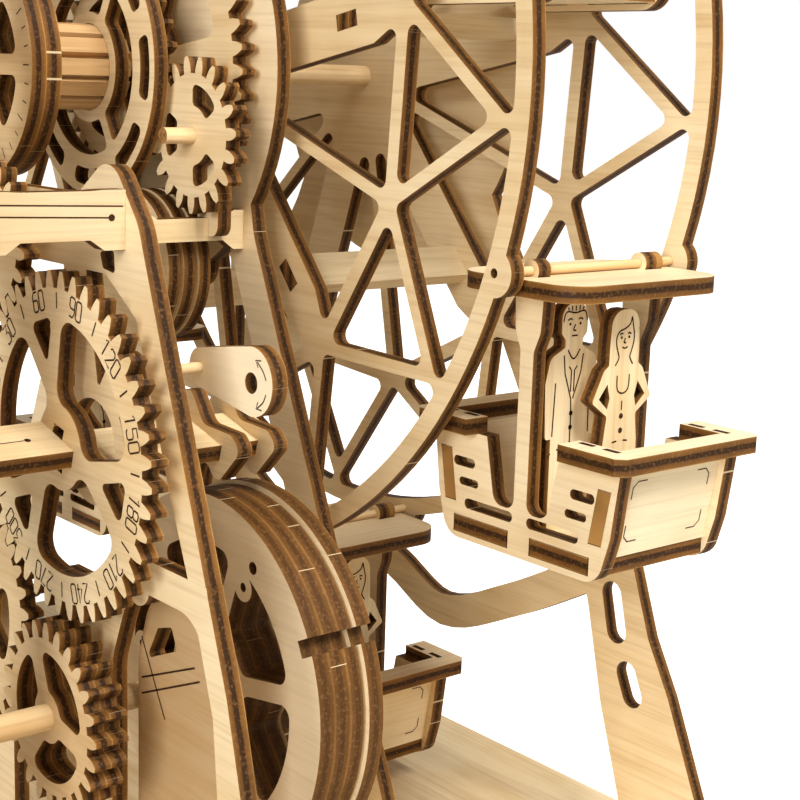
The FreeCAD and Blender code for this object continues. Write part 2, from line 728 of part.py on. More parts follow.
CLAW = [(-11.3, 7.2, 1.2), (-7.2, 7.7, 1.0), (-1.9, 0.5, 3.5), (9.7, 0.0, 3), (13.5, -3.3, 2.2),
        (5.2, -11.5, 1.6), (2.6, -11.2, 1.2), (0, -8.5, 2), (-11.6, -9.1, 3), (-14.9, -2.9, 3)]
claws = []
for y in CLAW_PLANES:
    flat = moved(board(shape_wire(CLAW), y), CRANK_X, 0, CRANK_Z)
    claws.append(flat.cut(crank_board(SHAFT_OFF, y, y + PLY, grow=FIT_GAP)))
save("crank_claws", claws)

# idlers on fixed pins
upper = board(gear_wire(UPPER, N_UPPER, upper_phase), GEAR_PLANE, PLY, [ring_wire(UPPER, PIN_R + RUN_GAP)])
save("upper_idler_gear", [upper])
lower = board(gear_wire(LOWER, N_LOWER, lower_phase), GEAR_PLANE, PLY, [ring_wire(LOWER, PIN_R + RUN_GAP)])
lower = windowed(lower, LOWER, 9, 21, 30, 5, 5, 2.5, GEAR_PLANE)
save("lower_idler_gear", [lower])
timing = board(gear_wire(TIMING, N_TIMING, timing_phase, TIMING_MODULE), TIMING_PLANE, PLY,
               [ring_wire(TIMING, PIN_R + RUN_GAP)])
TIMING_WINDOW = (33.0, 89.0)
opening = window(TIMING, 7.3, 12.6, TIMING_WINDOW[0], TIMING_WINDOW[1], 0, 1.5, TIMING_PLANE)
save("timing_gear", [timing.cut(Part.makeCompound([turned(opening, TIMING, 120 * i) for i in range(3)]))])

PULLEY = (18.0, WHEEL_Z - 50.4)
PULLEY_R = 19.8
PULLEY_CORE_R = 16.2
PULLEY_Y0 = -63.5
PULLEY_PIN_FRONT = -66.0
PULLEY_BOSS_R = 6.5
RIM_T = 3.4
GROOVE_T = 1.15
PULLEY_RIMS = 3
PULLEY_Y1 = PULLEY_Y0 + PULLEY_RIMS * RIM_T + (PULLEY_RIMS - 1) * GROOVE_T
ARM_PLANE = TIMING_PLANE + PLY + 0.5
TIMING_PIN_FRONT = -67.0
LEVER_PLANE = -87.6
pins = [
    dowel(UPPER, PIN_R, FRAME_0, FRAME_1 + PLY),
    dowel(LOWER, PIN_R, FRAME_0, FRAME_1 + PLY),
    dowel(TIMING, PIN_R, TIMING_PIN_FRONT, ARM_PLANE + PLY),
    dowel(PULLEY, PIN_R, PULLEY_PIN_FRONT, FRAME_2 + PLY),
]
save("gear_pins", pins)

# guide pulley: rims with narrower grooves between them
sheaves = [dowel(PULLEY, PULLEY_CORE_R, PULLEY_Y0, PULLEY_Y1)]
for i in range(PULLEY_RIMS):
    rim_y = PULLEY_Y0 + i * (RIM_T + GROOVE_T)
    sheaves.append(dowel(PULLEY, PULLEY_R, rim_y, rim_y + RIM_T))
pulley = join(sheaves).cut(dowel(PULLEY, PIN_R + RUN_GAP, PULLEY_Y0, PULLEY_Y1))
save("guide_pulley", [pulley])

# drum on the lower shaft
PINION_Y = -119.6
DRUM_Y = -77.6
DRUM_R = 45.0
DRUM_PLIES = 3
DRUM_LAST = -64.6
DRUM_LAST_R = 45.8
SPOKE_ANGLE = 10.0
NOTCH_ANGLE = 26.0
DRUM_PEG_HOLES = ((36.8, 60.0, 1.5), (30.1, 61.0, 1.1))
DRUM_BOSS_R = 3.4


def drum_ply(y, r):
    disc = board(ring_wire(DRUM, r), y, PLY, [ring_wire(DRUM, bore)])
    disc = windowed(disc, DRUM, 15, 33.5, SPOKE_ANGLE, 6, 4.6, 3, y)
    bosses = []
    cuts = []
    for hole_r, angle, hole in DRUM_PEG_HOLES:
        for a in (angle, angle + 120, angle + 240):
            c = polar(hole_r, a, DRUM_X, DRUM_Z)
            bosses.append(dowel(c, DRUM_BOSS_R, y, y + PLY))
            cuts.append(dowel(c, hole, y, y + PLY))
    notch = block(r - PLY, r + PLY, y, y + PLY, -PLY / 2, PLY / 2)
    cuts.append(moved(turned(notch, (0, 0), NOTCH_ANGLE), DRUM_X, 0, DRUM_Z))
    return join([disc] + bosses).cut(Part.makeCompound(cuts))


save("drum_layers", [drum_ply(DRUM_Y + i * PLY, DRUM_R) for i in range(DRUM_PLIES)] + [
    drum_ply(DRUM_LAST, DRUM_LAST_R), collar(DRUM, 8.0, bore, DRUM_Y + DRUM_PLIES * PLY, DRUM_LAST)])
pinion = board(gear_wire(DRUM, N_PINION, pinion_phase), PINION_Y, 2 * PLY, [ring_wire(DRUM, bore)])
pinion = windowed(pinion, DRUM, 6, 15, -10, 3, 5, 2, PINION_Y, 2 * PLY)
save("drum_pinion", [pinion])
save("drum_shaft", [dowel(DRUM, AXLE_R, FRAME_0, DRUM_LAST + PLY + 2.0)])

# lever on its peg: a round-ended bar, narrow at the peg and wide at the free end
PEG = (90.0, WHEEL_Z - 64.0)
LEVER_TIP = (110.0, WHEEL_Z - 64.0)
LEVER_HOLE = (109.8, WHEEL_Z - 64.3)
LEVER_HOLE_R = 2.3
LEVER_NARROW = 4.4
LEVER_WIDE = 7.5
PEG_R = 1.2
PEG_COLLAR_R = 3.0


def tapered_bar(c1, r1, c2, r2, y, holes):
    """sheet piece bounded by two circles and their outer tangents"""
    d = math.hypot(c2[0] - c1[0], c2[1] - c1[1])
    lean = bearing(c1, c2)
    side = 90 - math.degrees(math.asin((r1 - r2) / d))
    ends = []
    for c, r in ((c1, r1), (c2, r2)):
        for a in (lean + side, lean - side):
            x, z = polar(r, a, c[0], c[1])
            ends.append(V(x, 0, z))
    back = polar(r1, lean + 180, c1[0], c1[1])
    nose = polar(r2, lean, c2[0], c2[1])
    outline = Part.Wire([
        Part.makeLine(ends[0], ends[2]),
        Part.Arc(ends[2], V(nose[0], 0, nose[1]), ends[3]).toShape(),
        Part.makeLine(ends[3], ends[1]),
        Part.Arc(ends[1], V(back[0], 0, back[1]), ends[0]).toShape(),
    ])
    return board(outline, y, PLY, holes)


save("lever", [tapered_bar(PEG, LEVER_NARROW, LEVER_TIP, LEVER_WIDE, LEVER_PLANE,
                           [ring_wire(PEG, PEG_R + RUN_GAP), ring_wire(LEVER_HOLE, LEVER_HOLE_R)])])
save("lever_peg", [join([dowel(PEG, PEG_R, FRAME_1, LEVER_PLANE + PLY + 2.0),
                         dowel(PEG, PEG_COLLAR_R, LEVER_PLANE + PLY + 0.4, LEVER_PLANE + PLY + 2.0)])])

# frames
TENON_DEEP = PLY
DECK_TOP = PLY
CROSSBAR_Z = WHEEL_Z - 35.0
CROSSBAR_W = 16.0
IDLER_X = LOWER[0]


def at_wheel(pairs):
    """outline points given by their height over the wheel's axle"""
    return [(p[0], WHEEL_Z + p[1]) + tuple(p[2:]) for p in pairs]


def feet(xs, y):
    return [block(x - TENON_W / 2, x + TENON_W / 2, y, y + PLY, 0, DECK_TOP) for x in xs]


def both(make, pairs, y):
    """the outline and its mirror image"""
    right = make(shape_wire(at_wheel(pairs)), y)
    return [right, mirror_x(right)]


LEG_1 = [
    (86, -17.5, 7),
    (97.4, -31.5, 14),
    (131.7, -123.2),
    (146, -175),
    (150, FOOT),
    (136, FOOT),
    (132, -175),
    (126.8, -129),
    (118.2, -104.5),
    (109.8, -85),
    (96.5, -51),
    (84, -43),
    (70, -43),
    (72, -27),
]
PANEL_1 = [
    (64, -113),
    (86, -113, 8),
    (99, -102, 8),
    (124, -102),
    (134, -140),
    (140, FOOT),
    (64, FOOT),
]
ARCH_1 = [
    (86, -129, 14),
    (94, -109.5, 12),
    (121, -109.5, 10),
    (127, -128, 12),
    (133.5, FOOT + 10, 1.5),
    (86, FOOT + 10, 1.5),
]
EAR_WINDOW = [(82.9, -41.9, 0.8), (81.6, -38.4, 0.8), (87.6, -37.7, 0.8), (88.0, -42.6, 0.8)]
LEG_0 = [
    (80, -20, 7),
    (94, -22, 7),
    (94, FOOT),
    (80, FOOT),
    (80, -60),
    (70, -43),
    (66, -27),
]
CENTRE_POST_W = 12.0
MOUNT_R = 14.0
TIE_W = 10.0
TIE_X = 84.0
BRACE_FOOT = (97.0, WHEEL_Z - 108.0)
CROSSBAR_X = 76.0
FEET_0 = (-87.0, -31.0, 31.0, 87.0)
FEET_1 = (-143.0, -75.0, -31.0, 31.0, 75.0, 143.0)
FEET_2 = (-112.0, 112.0)
FEET_REAR = (-126.0, 126.0)
BEAM_X = 90.5
BEAM_MID = WHEEL_Z - 30.0
BEAM_TENON = 6.0
INNER_BEAM_X = 39.5
INNER_BEAM_MID = WHEEL_Z - 39.0


def beam_slots(xs, z, y):
    out = []
    for x in xs:
        out.append(block(x - PLY / 2 - FIT_GAP, x + PLY / 2 + FIT_GAP, y, y + PLY,
                         z - BEAM_TENON / 2 - FIT_GAP, z + BEAM_TENON / 2 + FIT_GAP))
    return out


def gear_frame_bars(y):
    """crossbar, crank and drum bearings and the posts of the lower idler"""
    left_end = (-CROSSBAR_X, CROSSBAR_Z)
    right_end = (CROSSBAR_X, CROSSBAR_Z)
    bars = [strip(left_end, right_end, CROSSBAR_W, y)]
    for s in (-1, 1):
        mount = (s * CRANK_X, CRANK_Z)
        bars.append(strip((s * 69.0, CROSSBAR_Z), mount, TIE_W, y))
        bars.append(dowel(mount, MOUNT_R, y, y + PLY))
        bars.append(strip((s * IDLER_X, LOWER[1]), (s * IDLER_X, DECK_TOP + CENTRE_POST_W / 2),
                          CENTRE_POST_W, y))
        bars.append(block(min(0, s * TIE_X), max(0, s * TIE_X), y, y + PLY, DECK_TOP, DECK_TOP + TIE_W))
    return bars


bars = gear_frame_bars(FRAME_1)
bars += both(board, LEG_1, FRAME_1)
panels = both(board, PANEL_1, FRAME_1)
arches = both(board, ARCH_1, FRAME_1)
bars += [p.cut(a) for p, a in zip(panels, arches)]
for s in (-1, 1):
    bars.append(strip((s * CRANK_X, CRANK_Z), (s * BRACE_FOOT[0], BRACE_FOOT[1]), TIE_W, FRAME_1))
bars += feet(FEET_1, FRAME_1)
cuts = [
    dowel(CRANK, board_reach(SHAFT_OFF) + RUN_GAP, FRAME_1, FRAME_1 + PLY),
    dowel(DRUM, AXLE_R + RUN_GAP, FRAME_1, FRAME_1 + PLY),
    dowel(UPPER, PIN_R + FIT_GAP, FRAME_1, FRAME_1 + PLY),
    dowel(LOWER, PIN_R + FIT_GAP, FRAME_1, FRAME_1 + PLY),
    dowel(PEG, PEG_R + FIT_GAP, FRAME_1, FRAME_1 + PLY),
]
cuts += both(board, EAR_WINDOW, FRAME_1)
cuts += beam_slots((-BEAM_X, BEAM_X), BEAM_MID, FRAME_1)
cuts += beam_slots((-INNER_BEAM_X, INNER_BEAM_X), INNER_BEAM_MID, FRAME_1)
peg_arm = strip((CRANK_X, CRANK_Z), PEG, TIE_W, FRAME_1)
frame_1 = join(bars + [peg_arm])
save("front_middle_frame", [frame_1.cut(Part.makeCompound(cuts))])

bars = gear_frame_bars(FRAME_0)
bars += both(board, LEG_0, FRAME_0)
bars.append(strip((0, CROSSBAR_Z), WHEEL, 16.0, FRAME_0))
bars.append(dowel(WHEEL, 12.0, FRAME_0, FRAME_0 + PLY))
for s in (-1, 1):
    bars.append(strip((s * 34.0, CROSSBAR_Z), WHEEL, TIE_W, FRAME_0))
    bars.append(dowel((s * DRUM_X, DRUM_Z), 11.0, FRAME_0, FRAME_0 + PLY))
bars += feet(FEET_0, FRAME_0)
cuts = [
    dowel(WHEEL, AXLE_R + RUN_GAP, FRAME_0, FRAME_0 + PLY),
    dowel(CRANK, board_reach(HANDLE_OFF) + RUN_GAP, FRAME_0, FRAME_0 + PLY),
    dowel(DRUM, AXLE_R + RUN_GAP, FRAME_0, FRAME_0 + PLY),
    dowel(UPPER, PIN_R + FIT_GAP, FRAME_0, FRAME_0 + PLY),
    dowel(LOWER, PIN_R + FIT_GAP, FRAME_0, FRAME_0 + PLY),
]
cuts += beam_slots((-BEAM_X, BEAM_X), BEAM_MID, FRAME_0)
save("front_outer_frame", [join(bars).cut(Part.makeCompound(cuts))])

# A-frames either side of the wheel
HEAD_R = 55.5
A_LEG = [
    (44.0, -30.0),
    (46.2, -40.6, 20),
    (118, FOOT),
    (106, FOOT),
    (36.0, -46.0, 10),
    (30.0, -30.0),
]
A_TIE_Z = -118.0
REAR_LEG = [
    (44.0, -30.0),
    (49.0, -40.0, 20),
    (106.5, -125.7, 30),
    (114.0, -146.0),
    (122.2, -160.5),
    (141.8, FOOT),
    (110, FOOT),
    (98, -168.5),
    (91, -140, 20),
    (36.0, -46.0, 10),
    (30.0, -30.0),
]
REAR_ARCH = [(-30, -161), (0, -151), (30, -161), (60, -150), (90, -134), (96, -130.8), (102, -127.6)]
ARCH_STEPS = 6
REAR_WINDOWS = [((100.0, -137.0), (102.5, -147.0), 7.0), ((107.0, -158.0), (109.5, -163.5), 7.0)]


def flowing(points, steps):
    """points of a smooth curve through all but the outermost two of the given points"""
    out = []
    for p0, p1, p2, p3 in zip(points, points[1:], points[2:], points[3:]):
        for k in range(steps):
            t = k / steps
            spot = []
            for a, b, c, d in zip(p0, p1, p2, p3):
                spot.append(b + (c - a) * t / 2 + (2 * a - 5 * b + 4 * c - d) * t ** 2 / 2
                            + (3 * b - a - 3 * c + d) * t ** 3 / 2)
            out.append(tuple(spot))
    return out + [points[-2]]


def band(points, width, y):
    """sheet band of even width along a run of points given from the wheel's axis"""
    upper = []
    lower = []
    last = len(points) - 1
    for i, p in enumerate(points):
        a = points[max(i - 1, 0)]
        b = points[min(i + 1, last)]
        along = V(b[0] - a[0], 0, b[1] - a[1]).normalize()
        off = V(-along.z, 0, along.x) * (width / 2)
        mid = V(p[0], 0, WHEEL_Z + p[1])
        upper.append(mid + off)
        lower.append(mid - off)
    outline = upper + lower[::-1]
    return board(Part.makePolygon(outline + [outline[0]]), y)


def a_frame(leg, ties, feet_x, y):
    bars = [dowel(WHEEL, HEAD_R, y, y + PLY)]
    bars += both(board, leg, y)
    for p, q in ties:
        for s in (-1, 1):
            bars.append(strip((s * p[0], WHEEL_Z + p[1]), (s * q[0], WHEEL_Z + q[1]), TIE_W, y))
    bars += feet(feet_x, y)
    return join(bars).cut(dowel(WHEEL, AXLE_R + RUN_GAP, y, y + PLY))


inner = a_frame(A_LEG, [((0, A_TIE_Z), (72, A_TIE_Z))], FEET_2, FRAME_2)
inner = join([inner, dowel(PULLEY, PULLEY_BOSS_R, FRAME_2, FRAME_2 + PLY)])
cuts = beam_slots((-INNER_BEAM_X, INNER_BEAM_X), INNER_BEAM_MID, FRAME_2)
cuts.append(dowel(PULLEY, PIN_R + FIT_GAP, FRAME_2, FRAME_2 + PLY))
save("front_inner_frame", [inner.cut(Part.makeCompound(cuts))])
arch_ahead = flowing(REAR_ARCH, ARCH_STEPS)
arch_run = [(-x, z) for x, z in arch_ahead[:0:-1]] + arch_ahead
rear = a_frame(REAR_LEG, [], FEET_REAR, FRAME_REAR)
rear = join([rear, band(arch_run, TIE_W, FRAME_REAR)])
cuts = []
for p, q, w in REAR_WINDOWS:
    for s in (-1, 1):
        cuts.append(strip((s * p[0], WHEEL_Z + p[1]), (s * q[0], WHEEL_Z + q[1]), w, FRAME_REAR))
save("rear_frame", [rear.cut(Part.makeCompound(cuts))])

# beams between the frames


def beam(x, profile):
    """upright board along Y; profile lists (y, z) of its side view"""
    pts = [V(x - PLY / 2, y, z) for y, z in profile]
    out = Part.Face(Part.makePolygon(pts + [pts[0]])).extrude(V(PLY, 0, 0))
    return out


BEAM_PADS = (5.0, 5.0)
INNER_BEAM_PADS = (31.5, 3.0)
BEAM_SLOPE = 3.2


def beam_profile(y0, y1, mid, up, up_end, down, down_end, pads):
    """half heights of the beam's middle and of its padded ends, above and below the tenons' middle"""
    t = BEAM_TENON / 2
    back = y1 - PLY
    front = y0 + PLY
    front_pad = front + pads[0]
    back_pad = back - pads[1]
    front_run = front_pad + BEAM_SLOPE
    back_run = back_pad - BEAM_SLOPE
    return [
        (y0, mid - t), (y0, mid + t), (front, mid + t), (front, mid + up_end), (front_pad, mid + up_end),
        (front_run, mid + up), (back_run, mid + up), (back_pad, mid + up_end), (back, mid + up_end),
        (back, mid + t), (y1, mid + t), (y1, mid - t), (back, mid - t), (back, mid - down_end),
        (back_pad, mid - down_end), (back_run, mid - down), (front_run, mid - down),
        (front_pad, mid - down_end), (front, mid - down_end), (front, mid - t),
    ]


upper_profile = beam_profile(FRAME_0, FRAME_1 + PLY, BEAM_MID, 5.2, 5.4, 4.8, 7.0, BEAM_PADS)
inner_profile = beam_profile(FRAME_1, FRAME_2 + PLY, INNER_BEAM_MID, 2.6, 4.4, 3.2, 5.6, INNER_BEAM_PADS)
save("upper_beams", [beam(x, upper_profile) for x in (-BEAM_X, BEAM_X)])
inner_beams = [beam(x, inner_profile) for x in (-INNER_BEAM_X, INNER_BEAM_X)]

# idler arm stands on the right inner beam
arm_outline = [
    (TIMING[0] - 5.5, TIMING[1] + 6.0, 5),
    (TIMING[0] + 5.5, TIMING[1] + 6.0, 5),
    (INNER_BEAM_X + 6.0, INNER_BEAM_MID - 2.0, 3),
    (INNER_BEAM_X - 3.0, INNER_BEAM_MID - 2.0, 2),
]
arm = board(shape_wire(arm_outline), ARM_PLANE, PLY, [ring_wire(TIMING, PIN_R + FIT_GAP)])
notch = block(INNER_BEAM_X - PLY / 2 - FIT_GAP, INNER_BEAM_X + PLY / 2 + FIT_GAP, ARM_PLANE,
              ARM_PLANE + PLY, INNER_BEAM_MID - PLY, INNER_BEAM_MID)
save("idler_arm", [arm.cut(notch)])
beam_notch = block(INNER_BEAM_X - PLY, INNER_BEAM_X + PLY, ARM_PLANE - FIT_GAP, ARM_PLANE + PLY + FIT_GAP,
                   INNER_BEAM_MID, INNER_BEAM_MID + PLY)
save("inner_beams", [inner_beams[0], inner_beams[1].cut(beam_notch)])

# ticket booth behind the arch
BOOTH_Y = -99.6
booth = [
    (84, FOOT + 10, 1),
    (84, -130, 14),
    (90, -112, 12),
    (111, -112, 10),
    (116, -130, 12),
    (118, FOOT + 10, 1),
]
booth_window = [(87.5, -129.7, 0.8), (92.3, -121.2, 0.8), (98, -119.4, 0.8), (100.3, -124.2, 0.8)]
front = board(shape_wire(at_wheel(booth)), BOOTH_Y, PLY, [shape_wire(at_wheel(booth_window))])
BOOTH_FEET = (93.0, 110.0)
BOOTH_STAND = 18.0
stand = [block(x - TENON_W / 2, x + TENON_W / 2, BOOTH_Y, BOOTH_Y + PLY, 0, BOOTH_STAND) for x in BOOTH_FEET]
save("booth_panel", [join([front] + stand)])

# base board
base = Part.makeBox(2 * BASE_X, BASE_BACK - BASE_FRONT, PLY, V(-BASE_X, BASE_FRONT, 0))
upright = [e for e in base.Edges if abs(e.Vertexes[0].Point.z - e.Vertexes[-1].Point.z) > PLY / 2]
base = base.makeFillet(BASE_CORNER, upright)
cuts = []
for xs, y in ((FEET_0, FRAME_0), (FEET_1, FRAME_1), (FEET_2, FRAME_2), (FEET_REAR, FRAME_REAR),
              (BOOTH_FEET, BOOTH_Y)):
    for x in xs:
        cuts.append(block(x - TENON_W / 2 - FIT_GAP, x + TENON_W / 2 + FIT_GAP, y - FIT_GAP,
                          y + PLY + FIT_GAP, 0, PLY))
save("base_board", [base.cut(Part.makeCompound(cuts))])
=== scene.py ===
import math

import bmesh
import bpy
from mathutils import Matrix, Vector


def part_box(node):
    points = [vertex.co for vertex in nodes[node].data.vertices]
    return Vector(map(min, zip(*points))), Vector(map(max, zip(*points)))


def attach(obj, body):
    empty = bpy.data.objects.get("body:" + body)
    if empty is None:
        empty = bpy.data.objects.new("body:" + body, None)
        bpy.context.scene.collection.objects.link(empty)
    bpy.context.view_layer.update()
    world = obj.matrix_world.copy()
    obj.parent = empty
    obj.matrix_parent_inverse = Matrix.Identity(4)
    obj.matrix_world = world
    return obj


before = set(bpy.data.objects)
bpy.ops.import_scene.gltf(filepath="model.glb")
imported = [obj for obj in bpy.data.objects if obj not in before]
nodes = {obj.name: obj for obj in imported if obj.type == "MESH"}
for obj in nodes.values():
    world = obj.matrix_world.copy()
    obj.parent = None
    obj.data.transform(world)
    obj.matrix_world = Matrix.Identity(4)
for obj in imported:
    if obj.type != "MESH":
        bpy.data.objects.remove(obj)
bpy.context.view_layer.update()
MM = 0.001

# places on the model in mm; X and Z from the frame's origin unless said otherwise
WHEEL_Z = 208.0
SHEET = 4
CRANK = (77.83, 126.94)
CRANK_TILT = -15
SHAFT_OFF = (-1.76, -3.0)
HANDLE_OFF = (-1.4, 0.4)
GEAR_FACE = -115.6
DIAL_FACE = -95.6
LEVER_FACE = -87.6
BOOTH_FACE = -99.6
BEAM_X = 92.5
INNER_BEAM_X = 41.5
ARM_FRONT = -154.6
KNOB_FROM_X = 95.0
# gondolas: pivots on the wheel, then places from each pivot
GONDOLAS = 6
PIVOT_R = 130.4
FIRST_PIVOT = -19
FLOOR_TOP = -62.6
RAIL_TOP = -37.1
MAN_FACE = (2.0, -6.7)
WOMAN_FACE = (9.3, 2.8)
END_TOP = (29.35, -41.1)
END_FOOT = (25.67, FLOOR_TOP)


# materials


def lin(rgb):
    out = []
    for c in rgb:
        c = c / 255
        out.append(c / 12.92 if c <= 0.04045 else ((c + 0.055) / 1.055) ** 2.4)
    return tuple(out) + (1.0,)


class Tree:
    """short way to write shader nodes"""

    def __init__(self, name):
        self.mat = bpy.data.materials.new(name)
        self.mat.use_nodes = True
        self.tree = self.mat.node_tree
        self.tree.nodes.clear()

    def put(self, socket, value):
        if isinstance(value, bpy.types.NodeSocket):
            self.tree.links.new(value, socket)
        else:
            socket.default_value = value

    def add(self, kind, out=0, props=None, **ins):
        n = self.tree.nodes.new("ShaderNode" + kind)
        for k, v in (props or {}).items():
            setattr(n, k, v)
        for k, v in ins.items():
            key = int(k[1:]) if k[0] == "i" and k[1:].isdigit() else k.replace("_", " ")
            self.put(n.inputs[key], v)
        return n.outputs[out]

    def math(self, op, a, b=0.0, clamp=False):
        return self.add("Math", props={"operation": op, "use_clamp": clamp}, i0=a, i1=b)

    def vmath(self, op, a, b=(0, 0, 0)):
        return self.add("VectorMath", props={"operation": op}, i0=a, i1=b)

    def mix(self, fac, a, b):
        n = self.tree.nodes.new("ShaderNodeMix")
        n.data_type = "RGBA"
        self.put(n.inputs[0], fac)
        self.put(n.inputs[6], a)
        self.put(n.inputs[7], b)
        return n.outputs[2]

    def ramp(self, fac, stops, interp="LINEAR"):
        n = self.tree.nodes.new("ShaderNodeValToRGB")
        n.color_ramp.interpolation = interp
        while len(n.color_ramp.elements) < len(stops):
            n.color_ramp.elements.new(0.5)
        for e, (pos, col) in zip(n.color_ramp.elements, stops):
            e.position = pos
            e.color = col if len(col) == 4 else lin(col)
        self.put(n.inputs[0], fac)
        return n.outputs[0]

    def remap(self, value, a, b, c, d):
        return self.add("MapRange", i0=value, i1=a, i2=b, i3=c, i4=d)

    def finish(self, color, rough, bump, strength=0.25, distance=0.0002, spec=0.25):
        normal = self.add("Bump", Strength=strength, Distance=distance, Height=bump)
        s = self.tree.nodes.new("ShaderNodeBsdfPrincipled")
        self.put(s.inputs["Base Color"], color)
        self.put(s.inputs["Roughness"], rough)
        self.put(s.inputs["Normal"], normal)
        s.inputs["Specular IOR Level"].default_value = spec
        o = self.tree.nodes.new("ShaderNodeOutputMaterial")
        self.tree.links.new(s.outputs[0], o.inputs[0])
        return self.mat


FACE = (234, 209, 165)
FACE_DARK = (218, 187, 137)
FACE_LIGHT = (244, 225, 186)
FIBRE = (168, 124, 74)
# painted shade and painted light colours, mixed into the veneer of some parts to stand in for how the lamps
# fall on them
PAINTED_SHADE = (150, 108, 60)
PAINTED_LIGHT = (255, 240, 212)
SOOT = (40, 25, 13)
EVEN_BURN = (88, 57, 26)
SPECK = (172, 126, 76)
TICK = (226, 200, 158)
# burnt cut edge of one sheet: outer ply, dark core, outer ply
PLIES = [
    (0.0, (166, 120, 62)), (0.06, (122, 81, 37)), (0.3, (104, 67, 29)),
    (0.36, (58, 36, 16)), (0.63, (52, 31, 13)), (0.69, (110, 72, 32)),
    (0.94, (128, 86, 40)), (1.0, (172, 126, 68)),
]


def fibres(t, coords, along, seed):
    """long thin fibres along one axis; two noises of different width"""
    fine = [900, 900, 900]
    wide = [160, 160, 160]
    fine[along] = 28
    wide[along] = 9
    shifted = t.vmath("ADD", coords, (seed * 0.37, seed * 0.21, seed * 0.53))
    a = t.add("TexNoise", props={"noise_dimensions": "3D"}, Vector=t.vmath("MULTIPLY", shifted, tuple(fine)),
              Scale=1.0, Detail=2.0, Roughness=0.6)
    b = t.add("TexNoise", props={"noise_dimensions": "3D"}, Vector=t.vmath("MULTIPLY", shifted, tuple(wide)),
              Scale=1.0, Detail=3.0, Roughness=0.55)
    return a, b


